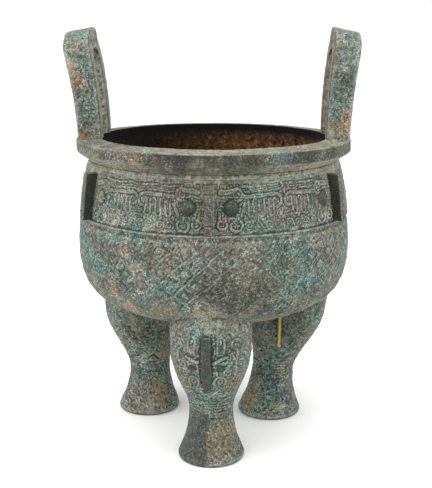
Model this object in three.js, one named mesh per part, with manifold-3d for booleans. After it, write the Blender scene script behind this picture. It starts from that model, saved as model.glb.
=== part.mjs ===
// A bronze ding: a round cooking vessel on three legs, cast in one piece.
// A deep bowl with a low belly stands on three legs that swell into animal masks under it. A frieze
// of masks runs round the shoulder between two fillets, parted by six upright flanges, and two loop
// handles stand on the thick everted rim and lean outwards.
// Units are millimetres, +Z is up, and the origin is on the ground under the middle of the bowl.
// The front leg points along -Y, and the handles stand at -X and +X.
import * as THREE from "three";
import { mergeVertices } from "three/addons/utils/BufferGeometryUtils.js";
import Module from "manifold-3d";

const wasm = await Module();
wasm.setup();

// Rim and mouth. The rim's top slopes down and outwards, and a chamfer runs back under it.
const RIM_RADIUS = 115.5;
const RIM_TOP = 259;
const RIM_BAND = 8.4;
const MOUTH_RADIUS = 95;
const MOUTH_TOP = 262.2;
const NECK_RADIUS = 105;
const NECK_TOP = 243.4;

// Bowl: radius and height where the outer outline bends, from the middle of the underside up.
const BELLY_STATIONS = [
  [0, 106],
  [30, 107.2],
  [56, 111.2],
  [78, 117.6],
  [94, 124.6],
  [105.4, 133.6],
  [112.2, 146.5],
  [115.5, 163],
  [115.8, 178],
  [114.2, 196],
];
const BELLY_STEPS = 11;
const SHOULDER_STATIONS = [
  [114, 199.6],
  [112.8, 210],
  [110.4, 225],
  [107.2, 239],
];
const SHOULDER_STEPS = 4;
const WALL = 5.4;
const FILLET = { low: 197, high: 199.4, proud: 1 };
const BOWL_SIDES = 56;

// Handles: upright loops with rounded tops, thicker in the radial direction than across.
const HANDLE = {
  foot: 255, // height where the posts end inside the rim
  height: 86.4, // crown above the mouth
  width: 60,
  slotWidth: 33,
  slotHeight: 69.5,
  leanHeight: 75,
  leanPower: 1.75,
  thickLow: 19.2,
  thickHigh: 21.6,
  squareness: 2.5, // 2 is a round arch, more is squarer
  postSteps: 6,
  archSteps: 12,
  innerCorner: 1.2,
  outerCorner: 1.6,
};
const HANDLES = [
  // side of the bowl, radius of the posts' middle at the rim, outward lean at leanHeight
  { side: -1, middle: 101.2, lean: 9.6 },
  { side: 1, middle: 102.4, lean: 6.4 },
];

// Flanges on the shoulder, one over each leg and one between each two.
const FLANGE = {
  turns: [0, 60, 120, 180, 240, 301],
  thick: 7.2,
  low: 200.2,
  high: 237.4,
  reachLow: 121.9,
  reachHigh: 117.4,
  root: 104,
  corner: 1.6,
  notches: [208, 231],
  notchHeight: 1.2,
  notchDepth: 1.3,
};
const EYE = { height: 219.8, swing: 8.6, radius: 110.8, wide: 5.8, tall: 5.4, proud: 5.2 };

// Legs: round columns that flare at the foot and swell outwards into a mask at the top.
const LEG_STATIONS = [
  // height, radius, how far the middle has moved outwards
  [0, 26.4, 0.6],
  [2.5, 27.6, 0.5],
  [8, 25.8, 0],
  [19, 21.6, 0],
  [31, 19, 0],
  [43, 18.3, 0.4],
  [54, 20.2, 2],
  [66, 24.8, 4.6],
  [79, 29.5, 7.2],
  [92, 32.4, 9.4],
  [106, 33, 10.4],
  [140, 33, 10.4],
];
const LEG_RINGS = 12;
const LEG_SIDES = 24;
const WAIST = 43;
const LEGS = [
  // turn round the bowl and twist of the mask in degrees, radius of the waist's middle, its outward
  // lean, and its girth beside the other legs
  { turn: 0, twist: -5, reach: 66.6, lean: 0, girth: 1 },
  { turn: 120, twist: 0, reach: 63.2, lean: 0.1, girth: 1.04 },
  { turn: 240, twist: 0, reach: 70, lean: -0.03, girth: 1.02 },
];
const NOSE = { low: 68, high: 118.6, thick: 8.8, tip: 5.6, proudLow: 1.2, proudHigh: 3.6, root: 9 };
const LEG_EYE = { height: 92.5, swing: 18, wide: 4.8, tall: 4.2, proud: 2.4 };

const degrees = THREE.MathUtils.degToRad;

// A geometry as a manifold-3d solid. Triangles that meet a pole in one point are dropped.
function solid(geometry) {
  const bare = geometry.clone();
  for (const name of Object.keys(bare.attributes)) {
    if (name !== "position") bare.deleteAttribute(name);
  }
  const merged = mergeVertices(bare, 1e-4);
  const index = merged.index.array;
  const kept = [];
  for (let i = 0; i < index.length; i += 3) {
    const [a, b, c] = [index[i], index[i + 1], index[i + 2]];
    if (a !== b && b !== c && c !== a) kept.push(a, b, c);
  }
  return new wasm.Manifold(
    new wasm.Mesh({
      numProp: 3,
      vertProperties: new Float32Array(merged.attributes.position.array),
      triVerts: new Uint32Array(kept),
    }),
  );
}

function geometryOf(manifold) {
  const mesh = manifold.getMesh();
  return new THREE.BufferGeometry()
    .setAttribute("position", new THREE.BufferAttribute(new Float32Array(mesh.vertProperties), 3))
    .setIndex(new THREE.BufferAttribute(new Uint32Array(mesh.triVerts), 1));
}

// A [radius, height] outline turned about the Z axis.
function revolve(outline, sides) {
  const points = outline.map(([radius, height]) => new THREE.Vector2(radius, height));
  return solid(new THREE.LatheGeometry(points, sides).rotateX(Math.PI / 2));
}

// A closed skin through rings of equal length, with a flat fan over each end.
function loft(rings) {
  const sides = rings[0].length;
  const middle = (ring) =>
    ring.reduce((sum, p) => sum.add(p), new THREE.Vector3()).divideScalar(sides);
  const points = [...rings.flat(), middle(rings[0]), middle(rings.at(-1))];
  const [first, last] = [points.length - 2, points.length - 1];
  const top = (rings.length - 1) * sides;
  const index = [];
  for (let side = 0; side < sides; side++) {
    const next = (side + 1) % sides;
    for (let low = 0; low < top; low += sides) {
      const high = low + sides;
      index.push(low + side, low + next, high + next, low + side, high + next, high + side);
    }
    index.push(first, next, side, last, top + side, top + next);
  }
  return solid(new THREE.BufferGeometry().setFromPoints(points).setIndex(index));
}

// A smooth line through [a, b] stations, as equally spaced points along it.
function smooth(stations, steps) {
  const curve = new THREE.SplineCurve(stations.map(([a, b]) => new THREE.Vector2(a, b)));
  return curve.getSpacedPoints(steps).map((p) => [p.x, p.y]);
}

// An upright plate, drawn as a [radius, height] outline and turned to face outwards.
function plate(outline, thick, turn) {
  const shape = new THREE.Shape(outline.map(([radius, height]) => new THREE.Vector2(radius, height)));
  const made = new THREE.ExtrudeGeometry(shape, { depth: thick, bevelEnabled: false });
  return made.translate(0, 0, -thick / 2).rotateX(Math.PI / 2).rotateZ(degrees(turn - 90));
}

// A low oval knob on a surface that faces outwards at this turn round the middle line.
function knob(centre, wide, tall, proud, turn) {
  const made = new THREE.SphereGeometry(1, 10, 6).rotateX(Math.PI / 2).scale(wide, proud, tall);
  made.rotateZ(degrees(turn)).translate(centre.x, centre.y, centre.z);
  return solid(made);
}

// The point at this radius, turn and height. Turn 0 is the front, along -Y.
function around(radius, turn, height) {
  const angle = degrees(turn);
  return new THREE.Vector3(radius * Math.sin(angle), -radius * Math.cos(angle), height);
}

function outerOutline() {
  const shoulder = smooth(SHOULDER_STATIONS, SHOULDER_STEPS);
  const lowest = shoulder[0][0];
  return [
    ...smooth(BELLY_STATIONS, BELLY_STEPS),
    [lowest + FILLET.proud, FILLET.low],
    [lowest + FILLET.proud, FILLET.high],
    ...shoulder,
    [NECK_RADIUS, NECK_TOP],
    [RIM_RADIUS, RIM_TOP - RIM_BAND],
    [RIM_RADIUS, RIM_TOP],
    [MOUTH_RADIUS, MOUTH_TOP],
    [0, MOUTH_TOP],
  ];
}

// The wall follows the belly, and thickens towards the neck up to the mouth's straight lip.
function innerOutline() {
  const stations = BELLY_STATIONS.map(([radius, height], i) => {
    const [before, after] = [BELLY_STATIONS[Math.max(i - 1, 0)], BELLY_STATIONS[i + 1]];
    if (!after) return [radius - WALL, height];
    const slope = new THREE.Vector2(after[0] - before[0], after[1] - before[1]).normalize();
    return [Math.max(radius - WALL * slope.y, 0), height + WALL * slope.x];
  });
  stations[0] = [0, BELLY_STATIONS[0][1] + WALL];
  return [
    ...smooth([...stations, [105.6, 215], [100, 232], [MOUTH_RADIUS + 1, 246]], 12),
    [MOUTH_RADIUS, MOUTH_TOP - 6],
    [MOUTH_RADIUS, MOUTH_TOP + 1],
    [0, MOUTH_TOP + 1],
  ];
}

// One section of a leg's skin: its middle and radius at each height.
function legRings({ turn, reach, lean, girth }) {
  const curve = new THREE.CatmullRomCurve3(
    LEG_STATIONS.map(([height, radius, out]) => new THREE.Vector3(radius * girth, out, height)),
  );
  return curve.getSpacedPoints(LEG_RINGS).map(({ x: radius, y: out, z: height }) => {
    const middle = around(reach + out + lean * (height - WAIST), turn, height);
    return Array.from({ length: LEG_SIDES }, (_, side) => {
      const angle = (side / LEG_SIDES) * 2 * Math.PI;
      return middle.clone().add(new THREE.Vector3(radius * Math.cos(angle), radius * Math.sin(angle), 0));
    });
  });
}

// The leg's skin at a height: how far its middle is from the bowl's, and its radius there.
function legSection({ reach, lean, girth }, height) {
  const above = LEG_STATIONS.findIndex(([at]) => at > height);
  const [low, high] = [LEG_STATIONS[above - 1], LEG_STATIONS[above]];
  const mix = (i) => THREE.MathUtils.mapLinear(height, low[0], high[0], low[i], high[i]);
  return { reach: reach + mix(2) + lean * (height - WAIST), radius: mix(1) * girth };
}

// The mask's upright nose: a plate down the leg's outer face, thinner at its tip.
function nose(leg) {
  const heights = [NOSE.low, 76, 84, 92, 100, 109, NOSE.high];
  const start = legSection(leg, WAIST).reach;
  const face = (height) => {
    const { reach, radius } = legSection(leg, height);
    return reach - start + radius;
  };
  const proud = (height) =>
    THREE.MathUtils.lerp(NOSE.proudLow, NOSE.proudHigh, Math.min((height - NOSE.low) / 30, 1));
  const outer = heights.map((height) => [face(height) + proud(height), height]);
  const inner = heights.map((height) => [face(height) - NOSE.root, height]);
  const made = plate([...inner.reverse(), ...outer], NOSE.thick, 0);
  const points = made.attributes.position;
  for (let i = 0; i < points.count; i++) {
    const share = THREE.MathUtils.smoothstep(points.getZ(i), NOSE.low, NOSE.high - 16);
    points.setX(i, (points.getX(i) * THREE.MathUtils.lerp(NOSE.tip, NOSE.thick, share)) / NOSE.thick);
  }
  const foot = around(start, leg.turn, 0);
  return solid(made.rotateZ(degrees(leg.turn + leg.twist)).translate(foot.x, foot.y, 0));
}

function legEyes(leg) {
  const { reach, radius } = legSection(leg, LEG_EYE.height);
  return [-1, 1].map((side) => {
    const turn = leg.turn + leg.twist + side * LEG_EYE.swing;
    const centre = around(reach, leg.turn, LEG_EYE.height).add(around(radius, turn, 0));
    return knob(centre, LEG_EYE.wide, LEG_EYE.tall, LEG_EYE.proud, turn);
  });
}

function flange(turn) {
  const { low, high, reachLow, reachHigh, root, corner, notches, notchHeight, notchDepth } = FLANGE;
  const reach = (height) => reachLow + ((reachHigh - reachLow) * (height - low)) / (high - low);
  const edge = notches.flatMap((height) => [
    [reach(height), height - notchHeight],
    [reach(height) - notchDepth, height - notchHeight],
    [reach(height) - notchDepth, height],
    [reach(height), height],
  ]);
  const outline = [
    [root, low],
    [reach(low), low],
    ...edge,
    [reach(high - corner), high - corner],
    [reach(high) - corner, high],
    [root - 2, high],
  ];
  return solid(plate(outline, FLANGE.thick, turn));
}

function flangeEyes(turn) {
  return [-1, 1].map((side) => {
    const eyeTurn = turn + side * EYE.swing;
    return knob(around(EYE.radius, eyeTurn, EYE.height), EYE.wide, EYE.tall, EYE.proud, eyeTurn);
  });
}

// The loop's outline as pairs of an outer and an inner point, [across, up], from post to post.
function loopPairs() {
  const { height, width, slotWidth, slotHeight, squareness, postSteps, archSteps, foot } = HANDLE;
  const bend = (t) => Math.sign(t) * Math.abs(t) ** (2 / squareness);
  const [archOuter, archInner] = [width / 2, slotWidth / 2];
  const spring = Math.min(height - archOuter, slotHeight - archInner);
  const start = foot - MOUTH_TOP;
  const post = Array.from({ length: postSteps }, (_, i) => {
    const up = start + ((spring - start) * i) / postSteps;
    return [[width / 2, up], [slotWidth / 2, up]];
  });
  const arch = Array.from({ length: archSteps + 1 }, (_, i) => {
    const angle = (i / archSteps) * Math.PI;
    const [across, up] = [bend(Math.cos(angle)), bend(Math.sin(angle))];
    return [
      [(across * width) / 2, spring + up * (height - spring)],
      [(across * slotWidth) / 2, spring + up * (slotHeight - spring)],
    ];
  });
  const other = post.map((pair) => pair.map(([across, up]) => [-across, up])).reverse();
  return [...post, ...arch, ...other];
}

// One loop handle, standing on the rim at -X or +X.
function handle({ side, middle, lean }) {
  const { leanHeight, leanPower, thickLow, thickHigh, innerCorner, outerCorner } = HANDLE;
  const leant = (up) => lean * (Math.min(Math.max(up, 0), leanHeight) / leanHeight) ** leanPower;
  const place = ([across, up], depth) => {
    const share = Math.min(Math.max(up / leanHeight, 0), 1);
    const thick = thickLow + (thickHigh - thickLow) * share;
    const tilt = 0.2 * share ** 2;
    const out = middle + leant(up) + depth * thick * Math.cos(tilt);
    return new THREE.Vector3(side * out, side * across, MOUTH_TOP + up - depth * thick * Math.sin(tilt));
  };
  const mix = (a, b, mm) => {
    const length = Math.hypot(b[0] - a[0], b[1] - a[1]);
    return [a[0] + ((b[0] - a[0]) * mm) / length, a[1] + ((b[1] - a[1]) * mm) / length];
  };
  const rings = loopPairs().map(([outer, inner]) => {
    const [near, far] = [innerCorner / thickLow, outerCorner / thickLow];
    return [
      place(outer, -0.5 + near),
      place(outer, 0.5 - far),
      place(mix(outer, inner, outerCorner), 0.5),
      place(mix(inner, outer, innerCorner), 0.5),
      place(inner, 0.5 - near),
      place(inner, -0.5 + near),
      place(mix(inner, outer, innerCorner), -0.5),
      place(mix(outer, inner, innerCorner), -0.5),
    ].reverse();
  });
  return loft(rings);
}

function vessel() {
  let cast = revolve(outerOutline(), BOWL_SIDES);
  for (const leg of LEGS) {
    cast = cast.add(loft(legRings(leg))).add(nose(leg));
    for (const eye of legEyes(leg)) cast = cast.add(eye);
  }
  for (const turn of FLANGE.turns) {
    cast = cast.add(flange(turn));
    for (const eye of flangeEyes(turn)) cast = cast.add(eye);
  }
  cast = cast.subtract(revolve(innerOutline(), BOWL_SIDES));
  for (const stands of HANDLES) cast = cast.add(handle(stands));
  return cast;
}

const bronze = new THREE.MeshStandardMaterial({ color: 0x5f7168, roughness: 0.78, metalness: 0.35 });
const ding = new THREE.Group();
const body = new THREE.Mesh(geometryOf(vessel()), bronze);
body.name = "ding_vessel";
ding.add(body);

export default ding;
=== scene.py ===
# %% [markdown]
# # A bronze ding
#
# A ding is a cooking vessel on three legs, cast in one piece in clay moulds. This one is buried
# bronze: its skin has turned grey-green, with teal, brown and coppery patches, and its ornament is
# worn. The CAD model holds the plain casting. Here it gets its carved skin, sculpted where it
# stands: everything below is in the CAD model's own frame, so nothing has to be fitted afterwards.
# Heights are above the ground, and the bowl's middle line is the Z axis.

# %% Load the frame
import math

import bmesh
import bpy
import numpy as np
from mathutils import Euler, Matrix, Vector


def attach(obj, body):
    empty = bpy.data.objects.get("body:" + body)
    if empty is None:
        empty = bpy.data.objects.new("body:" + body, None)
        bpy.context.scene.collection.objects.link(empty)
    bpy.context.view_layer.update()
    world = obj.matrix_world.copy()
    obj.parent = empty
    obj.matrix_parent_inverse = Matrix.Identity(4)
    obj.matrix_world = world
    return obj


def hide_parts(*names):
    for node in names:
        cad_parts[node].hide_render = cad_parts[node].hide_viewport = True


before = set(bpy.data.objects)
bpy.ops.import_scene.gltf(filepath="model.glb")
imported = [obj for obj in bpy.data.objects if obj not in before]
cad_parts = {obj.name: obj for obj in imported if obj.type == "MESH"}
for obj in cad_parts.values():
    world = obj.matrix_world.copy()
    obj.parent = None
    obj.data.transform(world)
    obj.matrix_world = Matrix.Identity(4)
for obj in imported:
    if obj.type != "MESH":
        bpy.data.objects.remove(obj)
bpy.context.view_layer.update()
VESSEL = "ding_vessel"
MM = 0.001  # sizes below are in mm, and Blender counts in metres

# %% [markdown]
# ## Shapes that the pieces share
#
# The bowl is round, so a few stations of radius and height describe it, and a smooth line through
# them gives the rest. The stations are the CAD model's, so both skins agree. A piece is first spun
# or extruded as a fine, plain skin, and its ornament is then raised on it point by point, as a
# mould-maker works on the clay: no operator carves, so the heights come from short formulas.


# %% Smooth lines through stations
def smooth(stations, spacing):
    """Evenly spaced points on a smooth line through the stations, about this far apart."""
    ends = np.array([stations[0], *stations, stations[-1]], float)
    t = np.linspace(0, 1, 24, endpoint=False)[:, None]
    spans = []
    for p0, p1, p2, p3 in zip(ends, ends[1:], ends[2:], ends[3:]):
        a, b = (p2 - p0) / 2, (p3 - p1) / 2
        spans.append((2 * p1 - 2 * p2 + a + b) * t**3 + (3 * p2 - 3 * p1 - 2 * a - b) * t**2 + a * t + p1)
    line = np.vstack([*spans, ends[-1:]])
    along = np.concatenate([[0], np.cumsum(np.linalg.norm(np.diff(line, axis=0), axis=1))])
    wanted = np.linspace(0, along[-1], max(2, round(along[-1] / spacing) + 1))
    return [tuple(np.interp(wanted_at, along, column) for column in line.T) for wanted_at in wanted]


def straight(stations, spacing):
    """Points on straight lines between the stations, at most this far apart."""
    points = [stations[0]]
    for start, end in zip(stations, stations[1:]):
        count = max(1, math.ceil(math.dist(start, end) / spacing))
        points += [tuple(np.interp(i / count, [0, 1], pair) for pair in zip(start, end))
                   for i in range(1, count + 1)]
    return points


BELLY = [(0, 106), (30, 107.2), (56, 111.2), (78, 117.6), (94, 124.6), (105.4, 133.6), (112.2, 146.5),
         (115.5, 163), (115.8, 178), (114.2, 196)]
SHOULDER = [(114, 199.6), (112.8, 210), (110.4, 225), (107.2, 239)]
belly_line = smooth(BELLY, 1)
print("the belly's outline is", len(belly_line), "points long, one to a millimetre")

# %% Spin an outline round the vessel's middle line
DOUBLINGS = 4


def spun(outline, steps):
    """A closed skin: an outline of (radius, height) in mm, spun round Z.

    An outline that starts on the axis also ends there. Any other is joined up into a loop.

    Spinning a fine mesh the whole way round is slow, so one narrow sector is spun, then copied and
    turned, doubling each time, and the seams are merged.
    """
    bm = bmesh.new()
    line = [bm.verts.new((0, -radius * MM, height * MM)) for radius, height in outline]
    edges = [bm.edges.new(pair) for pair in zip(line, line[1:])]
    if outline[0][0] > 0:
        edges.append(bm.edges.new((line[-1], line[0])))
    sector = math.tau / 2**DOUBLINGS
    bmesh.ops.spin(bm, geom=line + edges, cent=(0, 0, 0), axis=(0, 0, 1), dvec=(0, 0, 0),
                   angle=sector, steps=steps // 2**DOUBLINGS, use_merge=False, use_duplicate=False)
    for doubling in range(DOUBLINGS):
        copied = bmesh.ops.duplicate(bm, geom=bm.verts[:] + bm.edges[:] + bm.faces[:])["geom"]
        copies = [item for item in copied if isinstance(item, bmesh.types.BMVert)]
        turn = Matrix.Rotation(sector * 2**doubling, 3, "Z")
        bmesh.ops.rotate(bm, verts=copies, cent=(0, 0, 0), matrix=turn)
    bmesh.ops.remove_doubles(bm, verts=bm.verts[:], dist=0.01 * MM)
    bmesh.ops.recalc_face_normals(bm, faces=bm.faces[:])
    return bm


print("a sector of", 360 / 2**DOUBLINGS, "degrees is spun, then doubled", DOUBLINGS, "times")


# %% Make a piece of it
def piece_from(name, bm):
    """The bmesh as a smooth-shaded object at the origin, riding with the vessel, whose CAD part it hides.
    """
    mesh = bpy.data.meshes.new(name)
    bm.to_mesh(mesh)
    bm.free()
    mesh.shade_smooth()
    piece = bpy.data.objects.new(name, mesh)
    bpy.context.scene.collection.objects.link(piece)
    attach(piece, "root")
    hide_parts(VESSEL)
    return piece


print("every piece will stand in for", VESSEL)


# %% Read and move a skin's points
def points_of(piece):
    """The points of a piece, in mm, one row each."""
    flat = np.empty(len(piece.data.vertices) * 3)
    piece.data.vertices.foreach_get("co", flat)
    return flat.reshape(-1, 3) / MM


def normals_of(piece):
    """The direction that the skin faces at each point, one row each."""
    flat = np.empty(len(piece.data.vertices) * 3)
    piece.data.vertices.foreach_get("normal", flat)
    return flat.reshape(-1, 3)


def move_to(piece, points):
    """Put a piece's points at these places, given in mm."""
    piece.data.vertices.foreach_set("co", (points * MM).ravel())
    piece.data.update()


def radius_of(points):
    """The distance in mm of each point from the vessel's middle line."""
    return np.hypot(points[:, 0], points[:, 1])


def facing_out(points, normals):
    """1 where the skin faces straight away from the middle line, -1 where it faces the line."""
    return (normals[:, :2] * points[:, :2]).sum(1) / np.maximum(radius_of(points), 1)


def turn_of(points):
    """The angle round the vessel of each point, in degrees: 0 is the front, and +X is 90."""
    return np.degrees(np.arctan2(points[:, 0], -points[:, 1]))


def nearest(angle, every):
    """The signed distance from the nearest multiple of a step."""
    return (angle + every / 2) % every - every / 2


print("40 degrees round is", nearest(40, 60), "degrees from the nearest multiple of 60")

# %% [markdown]
# ## Corrosion
#
# Nothing on a buried bronze is smooth. Its whole skin swells and dips by a few tenths of a
# millimetre, and it is pitted. Random heights on a coarse lattice, blended between its corners,
# give lumps of any size. The lattice is seeded, so they are the same every time.

# %% Lumps
TILT = np.array(Euler((0.5, 0.9, 0.3)).to_matrix())  # so that no lump lines up with the vessel


def lumps(points, size, seed):
    """Smooth random heights from about -1 to 1, in lumps of about this size in mm."""
    cells = 24
    lattice = np.random.default_rng(seed).uniform(-1, 1, (cells, cells, cells))
    scaled = points @ TILT / size
    corner = np.floor(scaled).astype(int)
    t = scaled - corner
    t = t * t * (3 - 2 * t)
    total = np.zeros(len(points))
    for dx in (0, 1):
        for dy in (0, 1):
            for dz in (0, 1):
                weight = np.abs(1 - dx - t[:, 0]) * np.abs(1 - dy - t[:, 1]) * np.abs(1 - dz - t[:, 2])
                i, j, k = ((corner + (dx, dy, dz)) % cells).T
                total += weight * lattice[i, j, k]
    return total


def corroded(points, strength=1):
    """How far corrosion lifts each point, in mm."""
    swell = 0.22 * lumps(points, 9, 11) + 0.15 * lumps(points, 3.6, 12)
    pits = np.clip(lumps(points, 2.3, 13) - 0.3, 0, 1)
    crust = np.clip(lumps(points, 2.7, 15) - 0.3, 0, 1)
    return strength * (swell + 0.12 * lumps(points, 1.6, 14) + 0.45 * crust - 0.6 * pits)


trial = corroded(np.mgrid[0:50:8, 0:50:8, 0:50:8].reshape(3, -1).T)
print("corrosion moves the skin by", round(float(trial.min()), 2), "to", round(float(trial.max()), 2), "mm")

# %% [markdown]
# ## Raised lines
#
# All the ornament is drawn with bars, arcs and spirals of a given width and height, like coils of
# clay laid on a model. Each gives a distance, and the distance gives a height with soft shoulders.


# %% Bars, arcs and spirals
def bar(x, y, start, end):
    """The distance from each point to a straight line."""
    (ax, ay), (bx, by) = start, end
    length = max((bx - ax) ** 2 + (by - ay) ** 2, 1e-9)
    t = np.clip(((x - ax) * (bx - ax) + (y - ay) * (by - ay)) / length, 0, 1)
    return np.hypot(x - ax - t * (bx - ax), y - ay - t * (by - ay))


def arc(x, y, centre, radius, start, end):
    """The distance from each point to an arc, which runs anticlockwise between angles in degrees."""
    cx, cy = centre
    angle = (np.degrees(np.arctan2(y - cy, x - cx)) - start) % 360
    distance = np.abs(np.hypot(x - cx, y - cy) - radius)
    turns = [math.radians(start), math.radians(end)]
    tips = [np.hypot(x - cx - radius * math.cos(turn), y - cy - radius * math.sin(turn)) for turn in turns]
    return np.where(angle <= end - start, distance, np.minimum(*tips))


def raised(distance, half_width, height, shoulder=0.45):
    """A height with soft shoulders where the distance is under the half width."""
    t = np.clip((half_width + shoulder - distance) / (2 * shoulder), 0, 1)
    return height * t * t * (3 - 2 * t)


def spiral(x, y, pitch, square=False):
    """Waves from -1 to 1 that wind round the origin, a pitch apart, in a round or a square spiral."""
    reach = np.maximum(np.abs(x), np.abs(y)) if square else np.hypot(x, y)
    return np.cos(math.tau * (reach / pitch - np.arctan2(y, x) / math.tau))


def fret(x, y, cell, pitch):
    """Square spirals, one to a cell, alternately turned. They fill the ground between raised lines."""
    i, j = np.floor(x / cell), np.floor(y / cell)
    way = 1 - 2 * ((i + j) % 2)
    return spiral(way * (x - (i + 0.5) * cell), y - (j + 0.5) * cell, pitch, square=True)


print("the side of a raised line is", round(float(raised(1, 1, 1)), 2), "of its height at its half width")

# %% [markdown]
# ## The bowl's core
#
# The core is the bowl itself: its underside, its neck and thick rim, and its hollow inside. Under
# the frieze and the belly it lies a little deeper than the real skin, because those two are
# separate, much finer skins on top of it. One outline from the bottom middle, up the outside, over
# the rim and back down the inside makes it watertight with its true wall.

# %% The core's outline
RIM_RADIUS, RIM_TOP, RIM_BAND = 115.5, 259.9, 9.3
BAND_FOOT = RIM_TOP - RIM_BAND
MOUTH_RADIUS, MOUTH_TOP = 95, 262.2
LIP_RADIUS, LIP_TOP = 95.8, 261.4
NECK_RADIUS, NECK_TOP = 105, 243.4
WALL = 5.4
TUCK = 1.5  # how deep the core lies under a finer skin
CORE_STEPS = 416


def inset_line(line, depth):
    """A [radius, height] line moved inwards by a depth, square to itself."""
    line = np.array(line)
    along = np.gradient(line, axis=0)
    along /= np.linalg.norm(along, axis=1)[:, None]
    moved = line + depth * np.stack([-along[:, 1], along[:, 0]], axis=1)
    return [(max(radius, 0), height) for radius, height in moved]


SEAM_RADIUS = 66  # the belly's fine skin starts here
underside = [p for p in belly_line if p[0] < SEAM_RADIUS][::3]
tucked = [p for p in inset_line(belly_line, TUCK) if p[0] > SEAM_RADIUS + 2][::4]
tucked += [(radius - TUCK, height) for radius, height in SHOULDER]
neck = straight([(NECK_RADIUS + 1.9, 240.6), (NECK_RADIUS, NECK_TOP),
                 (RIM_RADIUS - 0.5, BAND_FOOT - 0.2), (RIM_RADIUS, BAND_FOOT + 0.3),
                 (RIM_RADIUS, RIM_TOP - 0.4), (RIM_RADIUS - 0.4, RIM_TOP),
                 (LIP_RADIUS + 0.5, LIP_TOP), (LIP_RADIUS, LIP_TOP - 0.5), (LIP_RADIUS, LIP_TOP - 5)], 1)
inner_belly = inset_line(smooth(BELLY, 3), WALL)
inside = smooth([(MOUTH_RADIUS + 1, 246), (100, 232), (105.6, 215), *inner_belly[::-6]], 3)
inside = [p for p in inside if p[0] > 1] + [(0, BELLY[0][1] + WALL)]
core_outline = underside + tucked + neck + inside
bowl = piece_from("bowl", spun(core_outline, CORE_STEPS))
print("bowl:", len(core_outline), "points round", CORE_STEPS, "steps,", len(bowl.data.polygons), "faces")

# %% Let the rim wander a little
WANDER = 0.35  # mm up and down
CORE_CORRODED = 0.6  # the core is eaten less than the fine skins

points = points_of(bowl)
rim_part = np.clip((points[:, 2] - 240) / 15, 0, 1) * np.clip((radius_of(points) - 90) / 5, 0, 1)
wander = WANDER * rim_part * lumps(points, 45, 21)
points[:, 2] += wander
points += normals_of(bowl) * (corroded(points, CORE_CORRODED) * (0.4 + 0.6 * rim_part))[:, None]
move_to(bowl, points)
print("the rim wanders by up to", round(float(np.abs(wander).max()), 2), "mm")

# %% [markdown]
# ## The belly
#
# The lower body carries a worn diaper: crossing raised ridges make lozenges, and each lozenge
# holds a square spiral round a low boss. It was never deep, and burial has eaten it away in places,
# so a slowly changing random strength fades it in and out, and lumps make its lines waver. The skin
# needs a point about every millimetre to hold it. Near the legs a plain band ends the pattern.

# %% The belly's skin
BELLY_STEPS = 640
BELLY_SPACING = 1.15
BELLY_TOP = 197.6
groove = [(114.1, 193.6), (113.5, 194.8), (113.2, 196), (113.2, BELLY_TOP)]  # parts it from the frieze
skin_line = [p for p in smooth(BELLY, BELLY_SPACING) if p[0] > SEAM_RADIUS - 2 and p[1] < 193] + groove
backing = [p for p in inset_line(smooth(BELLY, 9), TUCK + 1.4) if p[0] > SEAM_RADIUS][::-1]
belly_outline = skin_line + [(111, BELLY_TOP)] + backing
belly = piece_from("belly", spun(belly_outline, BELLY_STEPS))
print("belly:", len(skin_line), "rows of points,", len(belly.data.polygons), "faces")

# %% The diaper pattern
LOZENGES = 38
LOZENGE_TALL = 17.5
LOZENGE_STEP = 0.66 * math.tau * 115 / LOZENGES  # mm from one ridge to the next, square to them
DIAPER_LOW, DIAPER_HIGH = 126, 192
SPIRAL_PITCH, SPIRAL_TALL = 2.6, 0.16
RIDGE_HALF, RIDGE_TALL = 0.65, 0.45
BOSS_HALF, BOSS_TALL, BOSS_SHOULDER = 2.4, 0.7, 0.9
WAVER = 0.1  # of a lozenge
STEEP_ABOVE = 140  # mm up, where the belly's radius hardly changes and its height tells the place
FLAT_POINTS = 110  # of the belly's outline, on which its radius tells the place


def up_the_skin(points):
    """The distance in mm along the belly's outline, from its lowest point, of points on it."""
    line = np.array(belly_line)
    along = np.concatenate([[0], np.cumsum(np.linalg.norm(np.diff(line, axis=0), axis=1))])
    by_height = np.interp(points[:, 2], line[:, 1], along)
    by_radius = np.interp(radius_of(points), line[:FLAT_POINTS, 0], along[:FLAT_POINTS])
    return np.where(points[:, 2] > STEEP_ABOVE, by_height, by_radius)


def diaper(points):
    """The height in mm of the belly's lozenges, of the spirals in them and of their bosses."""
    across, up = turn_of(points) / 360 * LOZENGES, up_the_skin(points) / LOZENGE_TALL
    u = across + up + WAVER * lumps(points, 9, 32)
    v = across - up + WAVER * lumps(points, 9, 33)
    off_ridge = np.minimum(np.abs(nearest(u, 1)), np.abs(nearest(v, 1))) * LOZENGE_STEP
    inner_u, inner_v = nearest(u + 0.5, 1) * LOZENGE_STEP, nearest(v + 0.5, 1) * LOZENGE_STEP
    inside_cell = np.clip((off_ridge - 1.4) / 0.8, 0, 1)
    spirals = SPIRAL_TALL * inside_cell * (1 + spiral(inner_u, inner_v, SPIRAL_PITCH, square=True))
    bosses = raised(np.hypot(inner_u, inner_v), BOSS_HALF, BOSS_TALL, BOSS_SHOULDER)
    return raised(off_ridge, RIDGE_HALF, RIDGE_TALL) + spirals + bosses


points = points_of(belly)
height = points[:, 2]
on_skin = np.clip(facing_out(points, normals_of(belly)) * 3 + 0.6 - 2 * (height > BELLY_TOP - 0.6), 0, 1)
worn = np.clip(0.55 + 0.9 * lumps(points, 26, 31), 0.06, 1.05)
edge = np.clip((height - DIAPER_LOW) / 2, 0, 1) * np.clip((DIAPER_HIGH - height) / 1.5, 0, 1)
lift = on_skin * (worn * edge * diaper(points) + corroded(points))
move_to(belly, points + normals_of(belly) * lift[:, None])
print("the diaper stands up to", round(float(lift.max()), 2), "mm high")

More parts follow.
